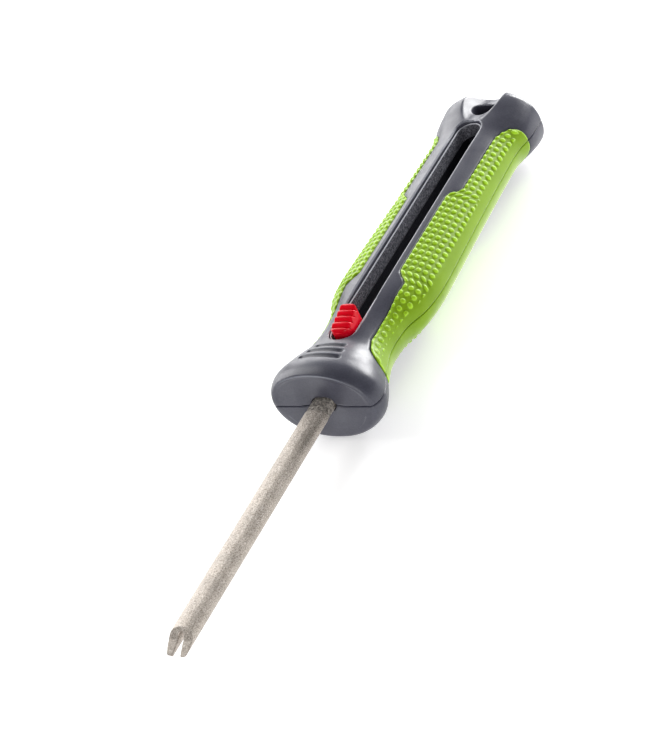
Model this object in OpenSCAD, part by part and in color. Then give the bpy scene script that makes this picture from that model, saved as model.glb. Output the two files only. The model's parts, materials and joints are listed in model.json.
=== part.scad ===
// Retractable diamond sharpening rod in a two-shell hand grip.
// Millimetres. The rod runs along Y with its forked end at -Y, +Z is the slot side, and z = 0 is the
// lowest point of the guard. Distances called "from the guard face" run along +Y from the guard's front.

/* [Rod] */
// Half-width of the oval rod
rod_a = 3.9; // [3.7:0.1:4.0]
// Half-height of the oval rod
rod_b = 2.4; // [2.3:0.1:2.5]
// Length of rod outside the guard when extended
rod_out = 91.5; // [80:0.5:92]
// Length of rod inside the handle when extended
rod_in = 34; // [30:1:34]
// Width of the hook groove under the rod
groove_w = 2; // [1.6:0.1:2.4]

/* [Handle] */
// Length of the handle from the guard face to the butt
handle_l = 146.6; // [145.4:0.2:149]
// Half-width of the guard rim
guard_a = 18.8; // [18:0.1:20]
// Half-height of the guard rim
guard_b = 13.2; // [12.4:0.1:14]
// Half-width of the finger neck behind the guard
neck_a = 12.6; // [12.2:0.1:13]
// Half-width where the palm is widest
palm_a = 17.8; // [16.5:0.1:18.5]
// Half-width of the waist in front of the butt
waist_a = 15.7; // [15:0.1:16.2]
// Half-width of the butt
butt_a = 17.9; // [17.5:0.1:18.5]
// Half-height of the grip
body_b = 10; // [9.9:0.1:10.4]
// Half-height of the butt
butt_b = 11.8; // [11.4:0.1:12.2]
// Thickness of the moulded shell
wall = 3.4; // [3:0.1:3.6]
// Depth of the pockets that hold the soft panels
pocket = 1.6; // [1.2:0.1:1.8]
// How far the soft panels stand proud of the shell
proud = 0.35; // [0.2:0.05:0.5]

/* [Slot and slide] */
// Sliding travel of the rod
travel = 95; // [92:0.5:95]
// Near end of the slot, from the guard face
slot_near = 19.4; // [19.3:0.1:19.6]
// Far end of the slot, from the guard face
slot_far = 128.4; // [128.2:0.1:128.6]
// Width of the slot
slot_w = 9.4; // [9.2:0.1:9.6]
// Length of the thumb button
button_l = 11.2; // [10.8:0.1:11.2]
// Height of the button's far ridge above the rod axis
button_top = 13.1; // [12.5:0.1:13.1]

/* [Hanging hole] */
// Radius of the hanging hole
hole_r = 4.2; // [3.5:0.1:4.2]
// Distance of the hanging hole from the guard face
hole_t = 137.4; // [137.3:0.1:138.5]

/* [Hidden] */

$fn = 64;
eps = 0.01;
big = 60;
axis_z = guard_b;
front_y = (rod_out - handle_l) / 2;

// Handle skin
skin_sides = 32;
ring_step = 6.5;
face_a = 15.4;
face_b = 11.2;
face_dome = 0.4;
rim_t = 5.6;
butt_t = 139;
plan_power = 1.4;
side_power = 2.7;
cap_steps = [0, 0.25, 0.5, 0.7, 0.85, 0.94, 0.985, 1];
cap_last = 0.998;

// Stations along the grip: distance from the guard face, half-width, half-height, squareness of the section
STATIONS = [
    [rim_t, guard_a, guard_b, 2.1],
    [10, guard_a - 1.2, guard_b - 0.7, 2.1],
    [14, 15.7, body_b + 1.5, 2.15],
    [19, 14.1, body_b - 0.1, 2.15],
    [24, 12.8, body_b - 0.3, 2.15],
    [30, neck_a, body_b - 0.3, 2.15],
    [36, 13.4, body_b - 0.1, 2.15],
    [43, 16.5, body_b, 2.15],
    [52, palm_a, body_b, 2.15],
    [62, palm_a - 0.2, body_b, 2.15],
    [80, palm_a - 1, body_b, 2.15],
    [98, waist_a + 0.4, body_b, 2.15],
    [114, waist_a, body_b, 2.15],
    [123, 16, body_b - 0.2, 2.2],
    [131, 17.8, butt_b - 1.2, 2.4],
    [butt_t, butt_a, butt_b, 2.5]
];

// Soft panels
panel_near = 13.5;
panel_far = 129.2;
panel_gap = 0.12;

// Track, trim and carrier
track_half = 7.3;
chamber_half = 5.9;
track_near = 17.8;
track_far = 131.8;
chamber_near = 19.6;
chamber_far = 130.6;
track_low = -5.9;
chamber_low = -4.5;
chamber_high = 4;
trim_flange_high = 5.4;
trim_high = 8.8;
trim_wall = 0.65;
slide_gap = 0.3;
button_w = slot_w - 2 * trim_wall - 0.5;
button_near = slot_near + trim_wall + slide_gap;
carrier_near = 20.2;
carrier_far = 35.4;
neck_high = 4.6;
pin_t = 28;
pin_r = 1;
detent_t = 28;
notch_r = 3;
notch_depth = 0.8;
spring_recess = 1.1;

// Screws: [x, distance from the guard face]
SCREWS = [[10.5, 12.5], [-10.5, 12.5], [11.5, 133], [-11.5, 133]];
screw_r = 1.45;
screw_head_r = 2.8;
screw_head_h = 2;
screw_seat = -4.9;
screw_tip = 6;

// Rod section: two side circles joined by a gently crowned middle
side_r = 2.2;
side_x = rod_a - side_r;
crown_r = 8.7;

slate = [0.42, 0.42, 0.46];
lime = [0.62, 0.80, 0.20];
black = [0.10, 0.10, 0.12];
red = [0.82, 0.06, 0.12];
grit = [0.72, 0.66, 0.58];
steel = [0.70, 0.70, 0.72];

// ---- Skin of the handle ----

// Index of the stretch of stations that holds distance t
function stretch(t, i = 0) =
    (i >= len(STATIONS) - 2 || t < STATIONS[i + 1][0]) ? i : stretch(t, i + 1);

// Slope of column k at station i, level at both ends
function slope(i, k) =
    (i == 0 || i == len(STATIONS) - 1) ? 0 :
    (STATIONS[i + 1][k] - STATIONS[i - 1][k]) / (STATIONS[i + 1][0] - STATIONS[i - 1][0]);

// Smooth value of column k at distance t, within stretch i
function smooth(t, k, i) =
    let (h = STATIONS[i + 1][0] - STATIONS[i][0], s = (t - STATIONS[i][0]) / h)
    STATIONS[i][k] * (2 * s ^ 3 - 3 * s ^ 2 + 1) + slope(i, k) * h * (s ^ 3 - 2 * s ^ 2 + s)
    + STATIONS[i + 1][k] * (3 * s ^ 2 - 2 * s ^ 3) + slope(i + 1, k) * h * (s ^ 3 - s ^ 2);

function half_width(t) = smooth(t, 1, stretch(t));
function half_height(t) = smooth(t, 2, stretch(t));

// Rings [t, half-width, half-height, squareness] of the guard face, rim, grip and butt
face_rings = [for (f = [0.3, 0.6, 0.85, 1]) [face_dome * f ^ 2, face_a * f, face_b * f, STATIONS[0][3]]];
rim_rings = [for (q = [18 : 18 : 72])
    [face_dome + (rim_t - face_dome) * (1 - cos(q)), face_a + (guard_a - face_a) * sin(q),
     face_b + (guard_b - face_b) * sin(q), STATIONS[0][3]]];
grip_rings = [for (t = [rim_t : ring_step : butt_t - 1])
    [t, half_width(t), half_height(t), smooth(t, 3, stretch(t))]];
butt_rings = [for (f = cap_steps) let (e = min(f, cap_last))
    [butt_t + (handle_l - butt_t) * f, butt_a * (1 - e ^ plan_power) ^ (1 / plan_power),
     butt_b * (1 - e ^ side_power) ^ (1 / side_power), STATIONS[len(STATIONS) - 1][3]]];
skin_rings = concat(face_rings, rim_rings, grip_rings, butt_rings);

// Signed power that squares off the oval. The section has a narrow flat at the top, bottom and sides,
// and half_step makes those flats, not the corners between them, lie at the full half-width and half-height.
half_step = 180 / skin_sides;
function bulge(v, n) = sign(v) * (abs(v) / cos(half_step)) ^ (2 / n);

// Closed skin through a list of rings, all grown sideways by g
module loft(rings, g) {
    n = skin_sides;
    last = len(rings) - 1;
    polyhedron(
        points = [for (r = rings, j = [0 : n - 1])
            let (q = 360 * j / n + half_step)
            [(r[1] + g) * bulge(cos(q), r[3]), r[0], (r[2] + g) * bulge(sin(q), r[3])]],
        faces = concat(
            [[for (j = [n - 1 : -1 : 0]) j]],
            [[for (j = [0 : n - 1]) last * n + j]],
            [for (i = [0 : last - 1], j = [0 : n - 1]) [i * n + j, i * n + (j + 1) % n, (i + 1) * n + j]],
            [for (i = [0 : last - 1], j = [0 : n - 1])
                [i * n + (j + 1) % n, (i + 1) * n + (j + 1) % n, (i + 1) * n + j]]
        )
    );
}

// Block that holds everything above (s = 1) or below (s = -1) height z0
module half_space(s, z0 = 0) {
    translate([-big, -big / 2, s > 0 ? z0 : z0 - big]) cube([2 * big, handle_l + big, big]);
}

// ---- Shapes shared by several parts ----

// Section of the rod, grown by g
module rod_section(g = 0) {
    intersection() {
        union() {
            for (s = [-1, 1]) translate([s * side_x, 0]) circle(r = side_r + g);
            square([2 * side_x, 2 * (rod_b + g)], center = true);
        }
        for (s = [-1, 1]) translate([0, s * (rod_b - crown_r)]) circle(r = crown_r + g);
    }
}

// A flat shape drawn in X and Z, run along Y from t0 to t1
module along(t0, t1) {
    translate([0, t1, 0]) rotate([90, 0, 0]) linear_extrude(height = t1 - t0) children();
}

// Box from half-width, distances and heights
module channel(half, t0, t1, z0, z1) {
    translate([-half, t0, z0]) cube([2 * half, t1 - t0, z1 - z0]);
}

// Round-ended slot outline, w wide, from t0 to t1
module slot_outline(w, t0, t1) {
    for (t = [t0 + w / 2, t1 - w / 2]) translate([0, t]) circle(d = w);
    translate([-w / 2, t0 + w / 2]) square([w, t1 - t0 - w]);
}

// Outline of a soft panel on the right side, seen from above
module panel_outline() {
    offset(r = 1) offset(delta = -1)
    polygon([
        [big / 2, panel_near], [15.5, panel_near + 0.3], [11.6, 18], [10, 22], [9.8, 29], [10.6, 48],
        [7.2, 50.8], [7.2, 88.6], [10.7, 91.6], [10.7, 119.5], [12.8, 125], [15.7, panel_far - 1.2],
        [17.4, panel_far], [big / 2, panel_far]
    ]);
}

// Upright prism over the panels of one side (1 right, -1 left)
module panel_prism(side) {
    mirror([side < 0 ? 1 : 0, 0, 0])
        translate([0, 0, -big]) linear_extrude(height = 2 * big) panel_outline();
}

// Soft panel of one side (1 right, -1 left) and level (1 upper, -1 lower)
module soft_panel(side, level) {
    color(lime) difference() {
        intersection() {
            loft(grip_rings, proud);
            panel_prism(side);
            half_space(level, level * panel_gap);
        }
        loft(grip_rings, -pocket);
    }
}

// Everything cut out of both shells
module shell_cuts() {
    // soft panel pockets
    difference() {
        for (side = [-1, 1]) panel_prism(side);
        loft(grip_rings, -pocket);
    }
    // hollow sides of the grip, with ribs left standing
    difference() {
        loft([for (r = grip_rings) if (r[0] > 38 && r[0] < 126) r], -wall);
        for (t = [56, 78, 100]) channel(big, t, t + 1.8, -big, big);
    }
    // track, bush and rod passage
    channel(track_half, track_near, track_far, track_low, trim_flange_high);
    bush_body();
    along(-5, track_near + 1) rod_section(0.45);
    // slot
    linear_extrude(height = big) slot_outline(slot_w, slot_near, slot_far);
    // hanging hole, with a lanyard scoop above and below
    translate([0, hole_t, -big]) cylinder(r = hole_r, h = 2 * big);
    for (s = [0, 1]) mirror([0, 0, s]) lanyard_scoop();
    // thumb grooves on the guard
    for (i = [0 : 2]) thumb_groove(9.3 + 3.25 * i, 14.2 - 1.9 * i);
    // screws
    for (p = SCREWS) translate([p[0], p[1], 0]) {
        translate([0, 0, screw_seat - eps]) cylinder(r = screw_r + 0.05, h = screw_tip - screw_seat + 0.3);
        translate([0, 0, -big]) cylinder(r = screw_head_r + 0.15, h = big + screw_seat);
    }
}

// Valley that runs from the hanging hole out over the butt
module lanyard_scoop() {
    scoop_r = 8.4;
    scoop_tilt = 12;
    translate([0, hole_t - 12.4, butt_b - 1.6]) rotate([-scoop_tilt, 0, 0])
        translate([0, 0, scoop_r]) rotate([-90, 0, 0]) cylinder(r = scoop_r, h = big);
}

// Shallow round groove across the guard
module thumb_groove(t, l) {
    groove_r = 1.4;
    translate([-l / 2, t, half_height(t) + 0.5]) rotate([0, 90, 0]) cylinder(r = groove_r, h = l);
}

// ---- Handle parts ----

module upper_shell() {
    color(slate) difference() {
        intersection() { loft(skin_rings, 0); half_space(1); }
        shell_cuts();
    }
}

module lower_shell() {
    color(slate) difference() {
        intersection() { loft(skin_rings, 0); half_space(-1); }
        shell_cuts();
    }
}

// Black liner of the slot: a flange over the track and a thin wall round the slot
module slot_trim() {
    color(black) difference() {
        union() {
            channel(track_half, track_near, track_far, chamber_high, trim_flange_high);
            translate([0, 0, chamber_high])
                linear_extrude(height = trim_high - chamber_high)
                    slot_outline(slot_w, slot_near, slot_far);
        }
        translate([0, 0, chamber_high - eps]) linear_extrude(height = big)
            slot_outline(slot_w - 2 * trim_wall, slot_near + trim_wall, slot_far - trim_wall);
    }
}

// Channel in which the carrier runs, notched at both ends for the detent
module slide_track() {
    color(black) difference() {
        channel(track_half, track_near, track_far, track_low, chamber_high);
        channel(chamber_half, chamber_near, chamber_far, chamber_low, chamber_high + eps);
        along(track_near - 1, chamber_near + 1) rod_section(0.45);
        for (t = [detent_t, detent_t + travel])
            translate([-chamber_half, t, chamber_low + notch_r - notch_depth])
                rotate([0, 90, 0]) cylinder(r = notch_r, h = 2 * chamber_half);
    }
}

// Outer shape of the rod guide, with a collar that keys it into the shells
module bush_body() {
    channel(7, 3, 14, -5, 5);
    channel(8.8, 6, 9, -6.8, 6.8);
}

module nose_bush() {
    color(black) difference() {
        bush_body();
        along(2, 15) rod_section(0.08);
    }
}

// Self-tapping screws with cross recesses, driven from below
module shell_screws() {
    color(steel) for (p = SCREWS) translate([p[0], p[1], 0]) difference() {
        union() {
            translate([0, 0, screw_seat - screw_head_h]) cylinder(r = screw_head_r, h = screw_head_h);
            translate([0, 0, screw_seat - eps]) cylinder(r = screw_r, h = screw_tip - screw_seat);
        }
        for (a = [0, 90]) rotate([0, 0, a])
            translate([-1.6, -0.4, screw_seat - screw_head_h - eps]) cube([3.2, 0.8, 1.2]);
    }
}

// ---- Sliding parts ----

// Profile of the rod's end seen from the side: a steep upper face, then a shallower ramp below mid-height
module tip_profile() {
    crease_t = 3.7;
    upper_run = 1.5 * rod_b;
    ramp_run = 1.8 * rod_b;
    polygon([
        [0, -rod_b - 1], [crease_t - ramp_run, -rod_b], [crease_t, 0], [crease_t + upper_run, rod_b],
        [crease_t + upper_run, rod_b + 1], [-5, rod_b + 1], [-5, -rod_b - 1]
    ]);
}

// Rod with a pin hole at the rear, a flared hook groove underneath and a forked, bevelled end
module sharpening_rod() {
    color(grit) difference() {
        along(-rod_out, rod_in) rod_section();
        translate([-big / 2, -rod_out, 0]) rotate([90, 0, 90]) linear_extrude(height = big) tip_profile();
        along(-rod_out - 1, -8) hook_groove();
        translate([-big / 2, pin_t, 0]) rotate([0, 90, 0]) cylinder(r = pin_r, h = big);
    }
}

module hook_groove() {
    top = 0.3;
    translate([0, top]) circle(d = groove_w);
    polygon([
        [groove_w / 2, top], [groove_w / 2, -0.5], [1.7, -2.2], [1.85, -3], [-1.85, -3], [-1.7, -2.2],
        [-groove_w / 2, -0.5], [-groove_w / 2, top]
    ]);
}

// Block that runs in the track, holds the rod and carries the button on its neck
module rod_carrier() {
    color(black) difference() {
        union() {
            channel(chamber_half - slide_gap, carrier_near, carrier_far,
                    chamber_low + slide_gap, chamber_high - slide_gap);
            translate([0, 0, chamber_high - slide_gap - eps])
                linear_extrude(height = neck_high - chamber_high + slide_gap + eps)
                    slot_outline(button_w, button_near, button_near + button_l);
        }
        along(carrier_near - 1, rod_in) rod_section();
        translate([-big / 2, pin_t, 0]) rotate([0, 90, 0]) cylinder(r = pin_r, h = big);
        button_pegs();
        channel(3.3, detent_t - 7, detent_t + 7, chamber_low, chamber_low + spring_recess);
    }
}

module carrier_pin() {
    color(steel) translate([-5.4, pin_t, 0]) rotate([0, 90, 0]) cylinder(r = pin_r, h = 10.8);
}

// Two pegs under the button that press into the carrier
module button_pegs() {
    for (t = [3.6, button_l - 3.6])
        translate([0, button_near + t, 3]) cylinder(r = 1.1, h = neck_high - 3 + eps);
}

// Section of the button, with sides that lean in above the slot
module button_section() {
    half = button_w / 2;
    polygon([
        [-half, neck_high], [half, neck_high], [half, 9], [half - 0.9, button_top + 1],
        [-half + 0.9, button_top + 1], [-half, 9]
    ]);
}

// Thumb button: a round-ended wedge whose scalloped ridges climb towards the butt
module thumb_button() {
    ridges = 5;
    ridge_r = 0.95;
    ridge_pitch = 2.2;
    ridge_rise = 0.33;
    first_t = button_near + 1.25;
    first_z = button_top - ridge_r - ridge_rise * (ridges - 1);
    far = button_near + button_l;
    slope = ridge_rise / ridge_pitch;
    color(red) {
        button_pegs();
        intersection() {
            translate([0, 0, neck_high]) linear_extrude(height = button_top - neck_high)
                slot_outline(button_w, button_near, far);
            along(button_near, far) button_section();
            translate([-big / 2, 0, 0]) rotate([90, 0, 90]) linear_extrude(height = big) union() {
                polygon([
                    [button_near, neck_high], [far, neck_high], [far, first_z + slope * (far - first_t)],
                    [button_near, first_z - slope * (first_t - button_near)]
                ]);
                for (i = [0 : ridges - 1])
                    translate([first_t + ridge_pitch * i, first_z + ridge_rise * i]) circle(r = ridge_r);
            }
        }
    }
}

// Bowed leaf under the carrier, with its bump resting in a notch of the track
module detent_spring() {
    leaf = 0.3;
    bow = 1;
    top = chamber_low + spring_recess;
    color(steel) translate([-3, 0, 0]) rotate([90, 0, 90]) linear_extrude(height = 6)
        translate([detent_t, top]) polygon([
            [-6.8, 0], [-4.4, 0], [-0.8, -bow], [0.8, -bow], [4.4, 0], [6.8, 0],
            [6.8, -leaf], [4.5, -leaf], [0.9, -bow - leaf], [-0.9, -bow - leaf], [-4.5, -leaf], [-6.8, -leaf]
        ]);
}

// ---- Assembly ----

module place() {
    translate([0, front_y, axis_z]) children();
}

place() upper_shell();
place() lower_shell();
place() soft_panel(1, 1);  // grip_upper_right
place() soft_panel(-1, 1);  // grip_upper_left
place() soft_panel(1, -1);  // grip_lower_right
place() soft_panel(-1, -1);  // grip_lower_left
place() slot_trim();
place() slide_track();
place() nose_bush();
place() sharpening_rod();
place() rod_carrier();
place() carrier_pin();
place() thumb_button();
place() detent_spring();
place() shell_screws();
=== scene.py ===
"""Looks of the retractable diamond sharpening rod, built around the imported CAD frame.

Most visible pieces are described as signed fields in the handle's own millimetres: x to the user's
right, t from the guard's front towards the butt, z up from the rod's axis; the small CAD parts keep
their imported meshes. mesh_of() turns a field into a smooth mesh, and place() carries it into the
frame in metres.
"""

import json
import math

import bpy
import numpy as np
from mathutils import Matrix, Vector


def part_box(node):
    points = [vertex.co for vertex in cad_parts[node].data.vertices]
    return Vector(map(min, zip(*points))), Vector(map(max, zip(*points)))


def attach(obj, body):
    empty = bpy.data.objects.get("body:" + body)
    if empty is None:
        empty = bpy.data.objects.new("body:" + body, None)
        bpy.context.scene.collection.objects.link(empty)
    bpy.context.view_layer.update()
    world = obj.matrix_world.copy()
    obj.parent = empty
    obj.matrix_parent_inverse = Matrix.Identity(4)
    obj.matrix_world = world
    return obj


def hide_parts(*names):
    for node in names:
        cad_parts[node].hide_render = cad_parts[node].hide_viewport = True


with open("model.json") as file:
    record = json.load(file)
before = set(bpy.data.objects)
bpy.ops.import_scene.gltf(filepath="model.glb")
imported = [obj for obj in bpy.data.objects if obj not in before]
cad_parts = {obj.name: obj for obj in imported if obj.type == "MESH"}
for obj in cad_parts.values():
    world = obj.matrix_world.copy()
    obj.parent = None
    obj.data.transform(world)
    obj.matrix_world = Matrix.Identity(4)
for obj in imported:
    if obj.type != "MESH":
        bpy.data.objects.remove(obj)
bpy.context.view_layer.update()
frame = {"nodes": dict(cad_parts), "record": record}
nodes = frame["nodes"]

# ---------------------------------------------------------------- sizes taken from the frame, in mm

shell_lo, shell_hi = (v * 1000 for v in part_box("upper_shell"))
rod_lo, rod_hi = (v * 1000 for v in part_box("sharpening_rod"))
trim_lo, trim_hi = (v * 1000 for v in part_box("slot_trim"))
track_lo, track_hi = (v * 1000 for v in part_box("slide_track"))
button_lo, button_hi = (v * 1000 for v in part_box("thumb_button"))

FRONT_Y = shell_lo.y
AXIS_Z = shell_lo.z
HANDLE_L = shell_hi.y - shell_lo.y
GUARD_A = shell_hi.x
GUARD_B = AXIS_Z
ROD_A = rod_hi.x
ROD_B = (rod_hi.z - rod_lo.z) / 2
ROD_OUT = FRONT_Y - rod_lo.y
ROD_IN = rod_hi.y - FRONT_Y
BUTTON_NEAR = button_lo.y - FRONT_Y
BUTTON_L = button_hi.y - button_lo.y
BUTTON_W = button_hi.x - button_lo.x
BUTTON_TOP = button_hi.z - AXIS_Z
TRIM_HIGH = trim_hi.z - AXIS_Z
TRIM_LOW = trim_lo.z - AXIS_Z
TRACK_HALF = track_hi.x
TRACK_NEAR = track_lo.y - FRONT_Y
TRACK_FAR = track_hi.y - FRONT_Y
TRACK_LOW = track_lo.z - AXIS_Z
hole = next(m for m in frame["record"]["mounts"] if m["name"] == "hanging_hole")
HOLE_T = hole["pos_m"][1] * 1000 - FRONT_Y
HOLE_R = hole["dims"]["r_mm"]

# ---------------------------------------------------------------- shape of the handle, in mm

RIM_T = 5.6
BUTT_T = 139.0
BODY_B = 10.0
FACE_A = 15.4
FACE_B = 11.2
FACE_T = 0.4
PLAN_POWER = 1.4
SIDE_POWER = 2.7
GUARD_SQUARE = 2.1
GRIP_SQUARE = 2.15
# distance from the guard face, half-width, half-height, squareness of the section
STATIONS = np.array([
    (RIM_T, GUARD_A, GUARD_B, GUARD_SQUARE),
    (10, GUARD_A - 1.2, GUARD_B - 0.7, GUARD_SQUARE),
    (14, 15.7, BODY_B + 1.5, GRIP_SQUARE),
    (19, 14.1, BODY_B - 0.1, GRIP_SQUARE),
    (24, 12.8, BODY_B - 0.3, GRIP_SQUARE),
    (30, 12.6, BODY_B - 0.3, GRIP_SQUARE),
    (36, 13.4, BODY_B - 0.1, GRIP_SQUARE),
    (43, 16.5, BODY_B, GRIP_SQUARE),
    (52, 17.8, BODY_B, GRIP_SQUARE),
    (62, 17.6, BODY_B, GRIP_SQUARE),
    (80, 16.8, BODY_B, GRIP_SQUARE),
    (98, 16.1, BODY_B, GRIP_SQUARE),
    (114, 15.7, BODY_B, GRIP_SQUARE),
    (123, 16.0, BODY_B - 0.2, 2.2),
    (131, 17.8, 10.6, 2.4),
    (BUTT_T, 17.9, 11.8, 2.5),
])

SLOT_W = 9.4
SLOT_NEAR = 19.4
SLOT_FAR = 128.4
TRIM_WALL = 0.65
TRIM_GAP = 0.2
TRACK_GAP = 0.03
CHANNEL_HIGH = 5.4
FLANGE_HIGH = 5.36

POCKET = 1.6
PROUD = 0.2
PANEL_GAP = 0.1
PANEL_NEAR = 13.5
PANEL_FAR = 129.2
# inner edge of a soft panel: distance from the guard face, half-width there
PANEL_EDGE = np.array([
    (12, 17.5), (13.8, 15.2), (18, 11.0), (22, 9.5), (29, 9.3), (40, 9.9), (46.4, 10.6), (50.8, 7.2),
    (88.4, 7.2), (92.0, 10.7), (119.5, 10.7), (123, 11.6), (125.5, 13.0), (127.6, 15.2), (129, 17.6),
])
# bumps: first row's distance, first column's distance from the inner edge, pitches, radius and height
BUMP_FIRST_T = 0.8
BUMP_FIRST_X = 1.3
BUMP_PITCH_T = 2.6
BUMP_PITCH_X = 2.35
BUMP_R = 0.88
BUMP_H = 0.5
# how far the columns move inwards for each mm below the grip's top
BUMP_SHEAR = 0.35
# height of the bumps on the finger neck, as a share of those on the grip
BUMP_NECK = 0.4

# grooves across the guard: distance from the guard face, half-length of the straight stretch
GROOVES = ((9.3, 6.3), (12.55, 5.35), (15.8, 4.4))
GROOVE_R = 1.2
GROOVE_LIFT = 0.5

SCREWS = [(side * x, t) for x, t in ((10.5, 12.5), (11.5, 133.0)) for side in (1, -1)]
SCREW_R = 2.95
SCREW_SEAT = -4.9
ROD_CLEARANCE = 0.28
# hollows for the nose bush, its collar and the slide track: half-width, low and high z, near and far t
HOLLOWS = (
    (7, -5, 5, 3, 14),
    (8.8, -6.8, 6.8, 6, 9),
    (TRACK_HALF, TRACK_LOW, CHANNEL_HIGH, TRACK_NEAR, TRACK_FAR),
)

# ---------------------------------------------------------------- field tools


def smax(a, b, k):
    """The greater of a and b, with the crease between them rounded over about k."""
    return np.maximum(a, b) + np.maximum(k - np.abs(a - b), 0) ** 2 / (4 * k)


def step(x, low, high):
    """0 below low, 1 above high, and smooth between."""
    s = np.clip((x - low) / (high - low), 0, 1)
    return s * s * (3 - 2 * s)


def stadium(x, t, w, near, far):
    """Distance to a round-ended slot outline."""
    return np.hypot(x, t - np.clip(t, near + w / 2, far - w / 2)) - w / 2


def slab(v, low, high):
    """Distance to the space between low and high."""
    return np.maximum(low - v, v - high)


def block(x, t, z, half, low, high, near, far):
    """Distance to a square-edged block."""
    return np.maximum(np.maximum(np.abs(x) - half, slab(z, low, high)), slab(t, near, far))


def hermite(column):
    """Dense smooth table of one column of STATIONS."""
    ts, vs = STATIONS[:, 0], STATIONS[:, column]
    slopes = np.zeros(len(ts))
    slopes[1:-1] = (vs[2:] - vs[:-2]) / (ts[2:] - ts[:-2])
    dense = np.arange(ts[0], ts[-1] + 0.1, 0.1)
    i = np.clip(np.searchsorted(ts, dense, side="right") - 1, 0, len(ts) - 2)
    h = ts[i + 1] - ts[i]
    s = (dense - ts[i]) / h
    return dense, (
        vs[i] * (2 * s**3 - 3 * s**2 + 1) + slopes[i] * h * (s**3 - 2 * s**2 + s)
        + vs[i + 1] * (3 * s**2 - 2 * s**3) + slopes[i + 1] * h * (s**3 - s**2)
    )


DENSE_T, DENSE_A = hermite(1)
DENSE_B = hermite(2)[1]
DENSE_N = hermite(3)[1]


def sizes(t):
    """Half-width, half-height and squareness of the section at distance t, both ends included."""
    a, b, n = (np.interp(t, DENSE_T, v) for v in (DENSE_A, DENSE_B, DENSE_N))
    q = np.clip((RIM_T - t) / (RIM_T - FACE_T), 0, 0.9995)
    roll = np.sqrt(1 - q * q)
    a = np.where(t < RIM_T, FACE_A + (GUARD_A - FACE_A) * roll, a)
    b = np.where(t < RIM_T, FACE_B + (GUARD_B - FACE_B) * roll, b)
    f = np.clip((t - BUTT_T) / (HANDLE_L - BUTT_T), 0, 0.9995)
    a = a * (1 - f**PLAN_POWER) ** (1 / PLAN_POWER)
    b = b * (1 - f**SIDE_POWER) ** (1 / SIDE_POWER)
    return a, b, n


def radius_share(x, z, a, b, n):
    """1 on the section's outline and less inside, in proportion to the distance from the axis."""
    return np.maximum((np.abs(x) / a) ** n + (np.abs(z) / b) ** n, 1e-9) ** (1 / n)


def face(x, z):
    """Distance of the guard's face behind its front: a dish and the bore's funnel, inside a raised brow."""
    share = radius_share(x, z, GUARD_A, GUARD_B, GUARD_SQUARE)
    dish = 0.25 + 0.75 * step(z, -4, 5)
    brow = 0.6 * step(share, 0.86, 0.97) * step(z, -3, 6)
    funnel = 0.7 * (1 - step(np.hypot(x, 0.8 * (z - 1)), 3, 9))
    return FACE_T + dish * (1 - step(share, 0.80, 0.93)) - brow + funnel


def skin(x, t, z):
    """Signed distance to the handle's outer skin, without its cuts."""
    dt = 0.05
    end_round = 1.2
    r = np.hypot(x, z) + 1e-6
    reach = r / radius_share(x, z, *sizes(t))
    reach_next = r / radius_share(x, z, *sizes(t + dt))
    d = (r - reach) / np.sqrt(1 + ((reach_next - reach) / dt) ** 2)
    return smax(smax(d, face(x, z) - t, end_round), t - HANDLE_L, end_round)


def rod_section(x, z, grow):
    """Distance to the rod's oval, grown outwards: two round sides under two flat crowns."""
    side_r = 2.2
    side_x = ROD_A - side_r
    crown_r = 8.7
    side = np.where(np.abs(x) > side_x, np.hypot(np.abs(x) - side_x, z) - side_r, np.abs(z) - ROD_B)
    crown = np.hypot(x, np.abs(z) + crown_r - ROD_B) - crown_r
    return smax(side, crown, 0.2) - grow


# the panels' inner edge with its corners rounded, as a running mean over reach steps to each side
reach = 6
kernel = np.hanning(2 * reach + 1)
panel_t = np.arange(10, 131, 0.25)
panel_x = np.convolve(
    np.pad(np.interp(panel_t, PANEL_EDGE[:, 0], PANEL_EDGE[:, 1]), reach, mode="edge"),
    kernel / kernel.sum(), mode="valid",
)
panel_slope = np.gradient(panel_x, panel_t)


def panel_area(x, t):
    """Distance to a soft panel's outline, seen from above."""
    edge = np.interp(t, panel_t, panel_x)
    lean = np.interp(t, panel_t, panel_slope)
    d = (edge - np.abs(x)) / np.sqrt(1 + lean**2)
    return smax(d, slab(t, PANEL_NEAR, PANEL_FAR), 2.0)


def scoop(x, t, z):
    """Distance to the valley that runs from the hanging hole out over the butt."""
    r = 8.4
    tilt = math.radians(12)
    floor_t, floor_z = HOLE_T - 12.4, 10.2
    across = (np.abs(z) - floor_z) * math.cos(tilt) + (t - floor_t) * math.sin(tilt) - r
    return np.hypot(x, across) - r


def grooves(x, t, body):
    """Distance to the three shallow grooves across the top of the guard, which follow its skin."""
    lines = [
        np.sqrt((x - np.clip(x, -half, half)) ** 2 + (t - at) ** 2 + (body - GROOVE_LIFT) ** 2)
        for at, half in GROOVES
    ]
    return np.minimum.reduce(lines) - GROOVE_R


# ---------------------------------------------------------------- field to mesh

CUBE = np.array([(i, j, k) for i in (0, 1) for j in (0, 1) for k in (0, 1)])
CUBE_EDGES = [(p, q) for p in range(8) for q in range(p + 1, 8) if np.abs(CUBE[p] - CUBE[q]).sum() == 1]


def neighbour_mean(points, faces):
    """Mean place of each point's neighbours along the mesh edges."""
    ends = np.concatenate([faces[:, [i, (i + 1) % 4]] for i in range(4)])
    ends = np.concatenate([ends, ends[:, ::-1]])
    start, end = ends.T
    count = np.maximum(np.bincount(start, minlength=len(points)), 1)
    return np.stack([np.bincount(start, points[end, i], len(points)) / count for i in range(3)], 1)


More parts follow.
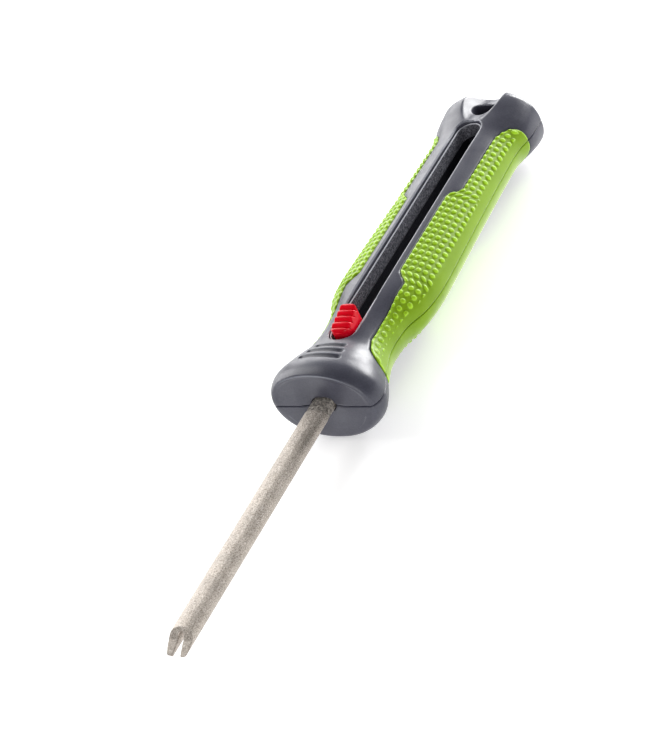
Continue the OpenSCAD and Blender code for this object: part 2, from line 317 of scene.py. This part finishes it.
def surface_net(value, low, pitch):
    """Quads through the cells of a grid of values in which the sign changes."""
    counts = np.array(value.shape)
    inside = value < 0
    nx, ny, nz = counts - 1
    tally = sum(inside[i:nx + i, j:ny + j, k:nz + k].astype(int) for i, j, k in CUBE)
    cells = np.argwhere((tally > 0) & (tally < 8))
    corner = [value[tuple((cells + c).T)] for c in CUBE]
    total = np.zeros((len(cells), 3))
    hits = np.zeros(len(cells))
    for p, q in CUBE_EDGES:
        cross = (corner[p] < 0) != (corner[q] < 0)
        share = np.where(cross, corner[p] / np.where(cross, corner[p] - corner[q], 1), 0)
        total += cross[:, None] * (CUBE[p] + share[:, None] * (CUBE[q] - CUBE[p]))
        hits += cross
    points = low + (cells + total / hits[:, None]) * pitch
    number = np.full(counts - 1, -1)
    number[tuple(cells.T)] = np.arange(len(cells))
    faces = []
    for axis in range(3):
        u, v = (axis + 1) % 3, (axis + 2) % 3
        first = np.take(inside, range(counts[axis] - 1), axis)
        second = np.take(inside, range(1, counts[axis]), axis)
        at = np.argwhere(first != second)
        at = at[(at[:, u] > 0) & (at[:, v] > 0) & (at[:, u] < counts[u] - 1) & (at[:, v] < counts[v] - 1)]
        ring = []
        for du, dv in ((1, 1), (0, 1), (0, 0), (1, 0)):
            cell = at.copy()
            cell[:, u] -= du
            cell[:, v] -= dv
            ring.append(number[tuple(cell.T)])
        quad = np.stack(ring, 1)
        leaving = first[tuple(at.T)]
        quad[~leaving] = quad[~leaving][:, ::-1]
        faces.append(quad)
    return points, np.concatenate(faces)


def settle(field, points, pitch):
    """Draws the points onto the field's zero surface in a few short moves along its slope."""
    h = pitch * 0.05
    least_slope, longest_move = 0.05, 0.4 * pitch
    for _ in range(4):
        grad = np.stack([
            (field(*(points + h * e).T) - field(*(points - h * e).T)) / (2 * h) for e in np.eye(3)
        ], 1)
        move = -(field(*points.T) / np.maximum((grad**2).sum(1), least_slope))[:, None] * grad
        size = np.maximum(np.linalg.norm(move, axis=1), 1e-9)
        points = points + move * np.minimum(1, longest_move / size)[:, None]
    return points


def wear_and_highlight_of(field, points, seam):
    """How sharply convex each point is, shown as edge wear and as painted highlight: 1 on sharp convex
    edges, and 0 along a seam at z = 0.
    """
    reach = 0.2
    around = sum(field(*(points + sign * reach * e).T) for e in np.eye(3) for sign in (1, -1))
    wear_and_highlight = np.clip((around - 6 * field(*points.T)) / reach**2 / 2, 0, 1)
    return wear_and_highlight * step(np.abs(points[:, 2]), 0.4, 1.0) if seam else wear_and_highlight


def mesh_of(field, low, high, pitch, seam=False):
    """Smooth mesh of field < 0 inside the box low..high, in mm: its points, its faces and their convexity
    for wear and painted highlight.
    """
    margin = 1.5 * pitch
    low = np.array(low, float) - margin
    counts = np.ceil((np.array(high, float) + margin - low) / pitch).astype(int) + 1
    x, t, z = (low[i] + pitch * np.arange(counts[i]) for i in range(3))
    value = field(x[:, None, None], t[None, :, None], z[None, None, :])
    points, faces = surface_net(np.broadcast_to(value, counts).astype(np.float64), low, pitch)
    points = settle(field, (points + neighbour_mean(points, faces)) / 2, pitch)
    return points, faces, wear_and_highlight_of(field, points, seam)


def place(name, net, body, material, stands_for=(), mirror=(1, 1, 1)):
    """Makes the mesh object, carries it from handle millimetres into the frame and sets it riding."""
    points, faces, wear_and_highlight = net
    points = points * np.array(mirror)
    if np.prod(mirror) < 0:
        faces = faces[:, ::-1]
    world = (points + np.array((0, FRONT_Y, AXIS_Z))) / 1000
    mesh = bpy.data.meshes.new(name)
    mesh.vertices.add(len(world))
    mesh.vertices.foreach_set("co", world.astype(np.float32).ravel())
    mesh.loops.add(faces.size)
    mesh.loops.foreach_set("vertex_index", faces.astype(np.int32).ravel())
    mesh.polygons.add(len(faces))
    mesh.polygons.foreach_set("loop_start", np.arange(0, faces.size, 4, dtype=np.int32))
    mesh.polygons.foreach_set("use_smooth", np.ones(len(faces), bool))
    mesh.update(calc_edges=True)
    mesh.validate()
    mesh.attributes.new("wear_and_highlight", "FLOAT", "POINT").data.foreach_set("value", wear_and_highlight.astype(np.float32))
    piece = bpy.data.objects.new(name, mesh)
    bpy.context.scene.collection.objects.link(piece)
    mesh.materials.append(material)
    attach(piece, body)
    if stands_for:
        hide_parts(*stands_for)
    return piece


# ---------------------------------------------------------------- materials


class Shader:
    """A Principled material with small helpers for its procedural detail."""

    def __init__(self, name, **constants):
        self.material = bpy.data.materials.new(name)
        self.material.use_nodes = True
        self.tree = self.material.node_tree
        self.bsdf = next(n for n in self.tree.nodes if n.type == "BSDF_PRINCIPLED")
        for key, value in constants.items():
            self.bsdf.inputs[key.replace("_", " ")].default_value = value

    def add(self, kind, **settings):
        node = self.tree.nodes.new(kind)
        for key, value in settings.items():
            setattr(node, key, value)
        return node

    def link(self, source, target):
        self.tree.links.new(source, target)

    def coordinates(self):
        """Object coordinates, so that the detail stays put when a body moves."""
        return self.add("ShaderNodeTexCoord").outputs["Object"]

    def noise(self, size_mm, detail=3.0, roughness=0.5, stretch=(1, 1, 1)):
        mapping = self.add("ShaderNodeMapping")
        mapping.inputs["Scale"].default_value = stretch
        self.link(self.coordinates(), mapping.inputs["Vector"])
        node = self.add("ShaderNodeTexNoise")
        node.inputs["Scale"].default_value = 1000 / size_mm
        node.inputs["Detail"].default_value = detail
        node.inputs["Roughness"].default_value = roughness
        self.link(mapping.outputs["Vector"], node.inputs["Vector"])
        return node.outputs["Fac"]

    def grains(self, size_mm):
        node = self.add("ShaderNodeTexVoronoi")
        node.inputs["Scale"].default_value = 1000 / size_mm
        self.link(self.coordinates(), node.inputs["Vector"])
        return node

    def ramp(self, source, *stops):
        node = self.add("ShaderNodeValToRGB")
        elements = node.color_ramp.elements
        while len(elements) < len(stops):
            elements.new(0.5)
        for element, (at, colour) in zip(elements, stops):
            element.position = at
            element.color = (*colour, 1) if len(colour) == 3 else (colour[0],) * 3 + (1,)
        self.link(source, node.inputs["Fac"])
        return node.outputs["Color"]

    def mix(self, fac, a, b, blend="MIX"):
        node = self.add("ShaderNodeMix", data_type="RGBA", blend_type=blend)
        for value, socket in ((fac, node.inputs["Factor"]), (a, node.inputs["A"]), (b, node.inputs["B"])):
            if isinstance(value, bpy.types.NodeSocket):
                self.link(value, socket)
            elif isinstance(value, (int, float)):
                socket.default_value = value
            else:
                socket.default_value = (*value, 1)
        return node.outputs["Result"]

    def edges(self, low, high):
        """Bright where the surface is sharply convex: edge wear on the slate, a painted highlight on the
        soft panels and the liner's rim.
        """
        wear_and_highlight = self.add("ShaderNodeAttribute", attribute_name="wear_and_highlight")
        return self.ramp(wear_and_highlight.outputs["Fac"], (low, (0,)), (high, (1,)))

    def colour(self, source):
        self.link(source, self.bsdf.inputs["Base Color"])

    def roughness(self, source, low, high):
        self.link(self.ramp(source, (0.3, (low,)), (0.7, (high,))), self.bsdf.inputs["Roughness"])

    def bump(self, source, depth_mm, strength=1.0):
        node = self.add("ShaderNodeBump")
        node.inputs["Strength"].default_value = strength
        node.inputs["Distance"].default_value = depth_mm / 1000
        self.link(source, node.inputs["Height"])
        self.link(node.outputs["Normal"], self.bsdf.inputs["Normal"])


def slate_plastic():
    s = Shader("slate_plastic", Specular_IOR_Level=0.5)
    tone = s.ramp(s.noise(9, 4), (0.3, (0.056, 0.057, 0.080)), (0.7, (0.070, 0.072, 0.096)))
    speck = s.ramp(s.noise(0.5, 2), (0.35, (0.9,)), (0.65, (1.1,)))
    tone_with_wear_and_highlights = s.mix(s.edges(0.62, 1.0), s.mix(1.0, tone, speck, "MULTIPLY"), (0.26, 0.27, 0.31))
    s.colour(tone_with_wear_and_highlights)
    s.roughness(s.noise(3, 4), 0.30, 0.40)
    s.bump(s.noise(0.35, 3), 0.012)
    return s.material


def lime_rubber():
    s = Shader("lime_rubber", Specular_IOR_Level=0.3, Sheen_Weight=0.75, Sheen_Roughness=0.35,
               Sheen_Tint=(0.92, 1.0, 0.70, 1))
    tone = s.ramp(s.noise(7, 4), (0.3, (0.23, 0.40, 0.004)), (0.7, (0.27, 0.46, 0.006)))
    # bump tops and convex edges painted pale green: a painted highlight, not wear
    tone_with_wear_and_highlights = s.mix(s.edges(0.40, 1.0), tone, (0.44, 0.76, 0.02))
    s.colour(tone_with_wear_and_highlights)
    s.roughness(s.noise(2, 3), 0.36, 0.50)
    s.bump(s.noise(0.3, 3), 0.012)
    return s.material


def black_plastic():
    s = Shader("black_plastic", Specular_IOR_Level=0.5)
    s.colour(s.ramp(s.noise(0.5, 4, 0.7), (0.4, (0.015, 0.015, 0.024)), (0.75, (0.055, 0.058, 0.070))))
    s.roughness(s.noise(1.2, 3), 0.32, 0.55)
    s.bump(s.noise(0.45, 4, 0.7), 0.06)
    return s.material


def liner_plastic():
    """Spark-eroded black plastic, its grain painted grey in speckles where the light rakes over it, with a
    painted highlight along its sharp rim edges.
    """
    s = Shader("liner_plastic", Specular_IOR_Level=0.5)
    grain = s.noise(0.55, 4, 0.75)
    # real dark grain, with grey speckles painted in to stand for raking light
    tone = s.ramp(grain, (0.38, (0.035, 0.035, 0.045)), (0.53, (0.15, 0.15, 0.175)),
                  (0.68, (0.42, 0.43, 0.47)))
    # sharp rim edges painted pale grey: a painted highlight
    s.colour(s.mix(s.edges(0.60, 1.0), tone, (0.60, 0.61, 0.66)))
    s.roughness(s.noise(1.2, 3), 0.34, 0.55)
    s.bump(grain, 0.10)
    return s.material


def red_plastic():
    s = Shader("red_plastic", Specular_IOR_Level=0.25)
    s.colour(s.ramp(s.noise(4, 3), (0.3, (0.80, 0.0, 0.012)), (0.7, (0.92, 0.001, 0.020))))
    s.roughness(s.noise(2, 3), 0.10, 0.20)
    s.bump(s.noise(0.4, 2), 0.008)
    return s.material


def diamond_grit():
    s = Shader("diamond_grit", Metallic=0.35, Specular_IOR_Level=0.6)
    fine = s.noise(0.32, 3, 0.75)
    warm = s.ramp(fine, (0.32, (0.10, 0.08, 0.06)), (0.45, (0.42, 0.36, 0.30)), (0.56, (0.62, 0.56, 0.50)),
                  (0.70, (0.95, 0.92, 0.88)))
    patch = s.ramp(s.noise(5, 4), (0.3, (0.86,)), (0.7, (1.08,)))
    s.colour(s.mix(1.0, warm, patch, "MULTIPLY"))
    s.roughness(fine, 0.34, 0.62)
    s.bump(s.grains(0.36).outputs["Distance"], 0.05, 0.8)
    return s.material


def bare_steel(name, tone):
    s = Shader(name, Metallic=1.0)
    drawn = s.noise(0.8, 4, 0.6, stretch=(1, 0.08, 1))
    dark = (tone * 0.78, tone * 0.76, tone * 0.74)
    s.colour(s.ramp(drawn, (0.3, dark), (0.7, (tone, tone * 0.98, tone * 0.96))))
    s.roughness(drawn, 0.28, 0.44)
    s.bump(drawn, 0.006)
    return s.material


def worn_steel():
    """Bare end of the rod, mottled where the plating bath stopped."""
    s = Shader("worn_steel", Metallic=0.35, Specular_IOR_Level=0.5)
    mottle = s.noise(0.9, 5, 0.7)
    s.colour(s.ramp(mottle, (0.36, (0.16, 0.14, 0.12)), (0.50, (0.42, 0.38, 0.33)),
                    (0.64, (0.82, 0.76, 0.68))))
    s.roughness(mottle, 0.28, 0.50)
    s.bump(mottle, 0.03)
    return s.material


SLATE = slate_plastic()
LIME = lime_rubber()
BLACK = black_plastic()
LINER = liner_plastic()
RED = red_plastic()
GRIT = diamond_grit()
STEEL = bare_steel("steel", 0.50)
WORN = worn_steel()
SPRING = bare_steel("spring_steel", 0.38)

# ---------------------------------------------------------------- shells


def shell(level):
    """Field of the upper (1) or lower (-1) shell."""
    seam_gap = 0.07

    def field(x, t, z):
        body = skin(x, t, z)
        pocket = smax(panel_area(x, t), -(body + POCKET), 0.3)
        d = smax(body, -pocket, 0.45)
        d = smax(d, -scoop(x, t, z), 0.6)
        d = smax(d, HOLE_R - np.hypot(x, t - HOLE_T), 0.45)
        if level > 0:
            d = smax(d, -stadium(x, t, SLOT_W, SLOT_NEAR, SLOT_FAR), 0.5)
            d = smax(d, -grooves(x, t, body), 0.3)
        else:
            for screw_x, screw_t in SCREWS:
                well = np.maximum(np.hypot(x - screw_x, t - screw_t) - SCREW_R, z - SCREW_SEAT)
                d = smax(d, -well, 0.5)
        passage = np.maximum(rod_section(x, z, ROD_CLEARANCE), t - TRACK_NEAR - 1)
        d = smax(d, -passage, 0.2)
        for hollow in HOLLOWS:
            d = np.maximum(d, -block(x, t, z, *hollow))
        return smax(d, seam_gap - level * z, 0.25)

    return field


MARGIN = 0.2
HALF = GUARD_A + MARGIN
net = mesh_of(shell(1), (-HALF, -MARGIN, 0), (HALF, HANDLE_L, GUARD_B + MARGIN), 0.4, seam=True)
place("shell_top", net, "handle", SLATE, ["upper_shell"])
net = mesh_of(shell(-1), (-HALF, -MARGIN, -GUARD_B - MARGIN), (HALF, HANDLE_L, 0), 0.45, seam=True)
place("shell_base", net, "handle", SLATE, ["lower_shell"])

# ---------------------------------------------------------------- soft panels


def bumps(x, t, z, band_slope):
    """Height of the moulded bumps, which fade out towards the smooth side band and the outline."""
    from_edge = np.abs(x) - np.interp(t, panel_t, panel_x) + BUMP_SHEAR * (BODY_B - np.abs(z))
    row = (t - BUMP_FIRST_T) / BUMP_PITCH_T
    from_row = BUMP_PITCH_T * (row - np.round(row))
    column = (from_edge - BUMP_FIRST_X) / BUMP_PITCH_X
    from_column = BUMP_PITCH_X * (column - np.round(column))
    dome = np.sqrt(np.maximum(1 - (from_row**2 + from_column**2) / BUMP_R**2, 0))
    band = step(np.abs(z) / (band_slope * np.abs(x)), 0.85, 1.05)
    inside = step(-panel_area(x, t), 0.1, 0.7)
    return BUMP_H * dome * band * inside * (BUMP_NECK + (1 - BUMP_NECK) * step(t, 30, 44))


def soft_panel(band_slope):
    """Field of a soft panel whose side band is smooth up to the given slope of z over x."""
    floor_gap = 0.06

    def field(x, t, z):
        body = skin(x, t, z)
        proud = PROUD * step(t, 26, 40)
        d = smax(body - proud - bumps(x, t, z, band_slope), panel_area(x, t) + PANEL_GAP, 0.8)
        d = np.maximum(d, -(body + POCKET - floor_gap))
        return smax(d, PANEL_GAP - z, 0.3)

    return field


PANEL_LOW = (6.8, PANEL_NEAR - 1, 0)
PANEL_HIGH = (18.8, PANEL_FAR + 0.2, 11.2)
for vertical, level, band_slope in (("upper", 1, 0.25), ("lower", -1, 0.66)):
    net = mesh_of(soft_panel(band_slope), PANEL_LOW, PANEL_HIGH, 0.24, seam=True)
    for across, side in (("right", 1), ("left", -1)):
        place(f"panel_{vertical}_{across}", net, "handle", LIME,
              [f"grip_{vertical}_{across}"], mirror=(side, 1, level))

# ---------------------------------------------------------------- slot liner


def liner(x, t, z):
    """Field of the slot's liner: a rim that stands in the slot, on a flange under it."""
    near, far = SLOT_NEAR + TRIM_GAP, SLOT_FAR - TRIM_GAP
    rim = smax(stadium(x, t, SLOT_W - 2 * TRIM_GAP, near, far), z - TRIM_HIGH + 0.1, 0.25)
    flange = block(x, t, z, TRACK_HALF - TRACK_GAP, TRIM_LOW, FLANGE_HIGH,
                   TRACK_NEAR + TRACK_GAP, TRACK_FAR - TRACK_GAP)
    opening = stadium(x, t, SLOT_W - 2 * TRIM_WALL, SLOT_NEAR + TRIM_WALL, SLOT_FAR - TRIM_WALL)
    return smax(np.maximum(np.minimum(rim, flange), TRIM_LOW - z), -opening, 0.15)


net = mesh_of(liner, (-TRACK_HALF, TRACK_NEAR, TRIM_LOW), (TRACK_HALF, TRACK_FAR, TRIM_HIGH + 0.3), 0.25)
place("slot_liner", net, "handle", LINER, ["slot_trim"])

# ---------------------------------------------------------------- rod

COLLAR_T = -2.9
PLATING = 0.1
GROOVE_END = -8.0
# bevelled end: distance from the tip to its crease, and how far the bevel runs back for each mm of
# height, above the crease and below it
CREASE = 3.9
LEAN_ABOVE = 1.15
LEAN_BELOW = 2.4
# groove of the forked end: a round roof, and flanks that flare out downwards
NOTCH_Z = 0.3
NOTCH_R = 1.0
FLARE_Z = (-3, -2.2, -0.5)
FLARE_HALF = (1.8, 1.35, 0.9)


def rod(x, t, z):
    """Field of the rod, whose grit ends in a small step just outside the guard."""
    coat = PLATING * step(-t, -COLLAR_T - 0.15, -COLLAR_T + 0.15)
    d = smax(rod_section(x, z, coat - PLATING), slab(t, -ROD_OUT, ROD_IN), 0.3)
    lean = np.where(z > 0, LEAN_ABOVE, LEAN_BELOW)
    bevel = (CREASE - ROD_OUT + lean * z - t) / np.sqrt(1 + lean**2)
    d = smax(d, bevel, 0.2)
    flanks = (np.abs(x) - np.interp(z, FLARE_Z, FLARE_HALF)) * 0.85
    hook = np.where(z > NOTCH_Z, np.hypot(x, z - NOTCH_Z) - NOTCH_R, flanks)
    return smax(d, -np.maximum(hook, t - GROOVE_END), 0.25)


net = mesh_of(rod, (-ROD_A, -ROD_OUT, -ROD_B), (ROD_A, ROD_IN, ROD_B), 0.2)
rod_piece = place("rod", net, "slider", GRIT, ["sharpening_rod"])
rod_piece.data.materials.append(WORN)
centre_t = net[0][net[1]].mean(1)[:, 1]
rod_piece.data.polygons.foreach_set("material_index", (centre_t > COLLAR_T).astype(np.int32))

# ---------------------------------------------------------------- thumb button

RIDGES = 5
RIDGE_PITCH = 2.1
RIDGE_RISE = 0.52
RIDGE_FIRST = 1.25
RIDGE_H = 1.2
# how far the ridges go on past the first and the last crest, as a share of the pitch
RIDGE_END = 0.42
TOP_LIFT = 0.2
TOP_CROWN = 0.03
BUTTON_LOW = 4.6
# height above which the sides lean in, and how far for each mm
LEAN_Z = 9.0
SIDE_LEAN = 0.26
NEAR_GAP = 0.8
FAR_REACH = 0.4
PEG_IN = 3.6
PEG_R = 1.1
PEG_LOW = 3
PEG_HIGH = 6


def button(x, t, z):
    """Field of the button: ridges that rise towards the butt, and two pegs into the carrier."""
    near, far = BUTTON_NEAR + NEAR_GAP, BUTTON_NEAR + BUTTON_L + FAR_REACH
    s = np.clip((t - near - RIDGE_FIRST) / RIDGE_PITCH, -RIDGE_END, RIDGES - 1 + RIDGE_END)
    crest = np.abs(np.cos(math.pi * s)) ** 0.75
    top = BUTTON_TOP + TOP_LIFT - RIDGE_RISE * (RIDGES - 1 - s) - RIDGE_H * (1 - crest) - TOP_CROWN * x**2
    side = np.abs(x) - BUTTON_W / 2 + SIDE_LEAN * np.maximum(z - LEAN_Z, 0)
    ends = stadium(x, t, BUTTON_W, near, far)
    d = smax((z - top) * 0.8, smax(side, ends, 0.3), 0.4)
    d = np.maximum(d, BUTTON_LOW + 0.02 - z)
    for at in (PEG_IN, BUTTON_L - PEG_IN):
        peg = np.maximum(np.hypot(x, t - BUTTON_NEAR - at) - PEG_R, slab(z, PEG_LOW, PEG_HIGH))
        d = np.minimum(d, peg)
    return d


BUTTON_HIGH = (BUTTON_W / 2, BUTTON_NEAR + BUTTON_L + FAR_REACH, BUTTON_TOP + TOP_LIFT)
net = mesh_of(button, (-BUTTON_W / 2, BUTTON_NEAR, PEG_LOW), BUTTON_HIGH, 0.16)
place("button", net, "slider", RED, ["thumb_button"])

# ---------------------------------------------------------------- CAD nodes that stay

for name, material in (("slide_track", BLACK), ("nose_bush", BLACK), ("rod_carrier", BLACK),
                       ("carrier_pin", STEEL), ("detent_spring", SPRING), ("shell_screws", STEEL)):
    nodes[name].data.materials.clear()
    nodes[name].data.materials.append(material)

# ---------------------------------------------------------------- floor, light, camera


def floor_material():
    s = Shader("floor", Specular_IOR_Level=0.2, Emission_Color=(1, 1, 1, 1), Emission_Strength=0.45)
    s.colour(s.ramp(s.noise(60, 3), (0.3, (0.90, 0.90, 0.905)), (0.7, (0.92, 0.92, 0.925))))
    s.roughness(s.noise(30, 3), 0.7, 0.8)
    return s.material


def make_floor():
    half = 3.0
    corners = [(-half, -half, 0), (half, -half, 0), (half, half, 0), (-half, half, 0)]
    mesh = bpy.data.meshes.new("floor")
    mesh.from_pydata(corners, [], [(0, 1, 2, 3)])
    mesh.materials.append(floor_material())
    floor = bpy.data.objects.new("floor", mesh)
    bpy.context.scene.collection.objects.link(floor)


def area_light(name, place_m, target_m, width, height, power):
    """White panel of light, width by height metres, that faces the target."""
    data = bpy.data.lights.new(name, "AREA")
    data.shape = "RECTANGLE"
    data.size, data.size_y, data.energy = width, height, power
    light = bpy.data.objects.new(name, data)
    light.location = place_m
    light.rotation_euler = (Vector(target_m) - Vector(place_m)).to_track_quat("-Z", "Y").to_euler()
    bpy.context.scene.collection.objects.link(light)


def view_camera():
    """Camera at the photograph's angle: azimuth and elevation of the eye, roll, and aim beside the guard."""
    azimuth, elevation, roll = (math.radians(v) for v in (42.96, 33.42, -27.71))
    distance, aim_right, aim_up = 524.9, 1.09, 9.79
    back = Vector((math.sin(azimuth) * math.cos(elevation), -math.cos(azimuth) * math.cos(elevation),
                   math.sin(elevation)))
    right = Vector((0, 0, 1)).cross(back).normalized()
    up = back.cross(right)
    turned_right = math.cos(roll) * right + math.sin(roll) * up
    turned_up = math.cos(roll) * up - math.sin(roll) * right
    eye = distance * back + aim_right * turned_right + aim_up * turned_up
    data = bpy.data.cameras.new("camera")
    data.sensor_width = 36
    data.lens = 87.2064
    data.clip_start = 0.01
    camera = bpy.data.objects.new("camera", data)
    rotation = Matrix((turned_right, turned_up, back)).transposed()
    camera.matrix_world = Matrix.Translation((eye + Vector((0, FRONT_Y, AXIS_Z))) / 1000) @ rotation.to_4x4()
    bpy.context.scene.collection.objects.link(camera)
    bpy.context.scene.camera = camera


make_floor()
target = (0, 0.02, 0.015)
area_light("back", (0.15, 0.85, 0.25), target, 0.6, 0.35, 11.0)
area_light("back_left", (-0.5, 0.65, 0.28), target, 0.5, 0.4, 3.0)
area_light("left_high", (-0.55, 0.1, 0.6), target, 0.5, 0.5, 2.8)
area_light("left_low", (-0.7, 0.1, 0.25), target, 0.5, 0.4, 2.6)
area_light("front", (0.3, -0.8, 0.25), target, 0.5, 0.4, 2.9)
world = bpy.data.worlds.new("studio")
world.use_nodes = True
world.node_tree.nodes["Background"].inputs["Color"].default_value = (1, 1, 1, 1)
world.node_tree.nodes["Background"].inputs["Strength"].default_value = 0.15
bpy.context.scene.world = world
bpy.context.scene.view_settings.view_transform = "Standard"
view_camera()
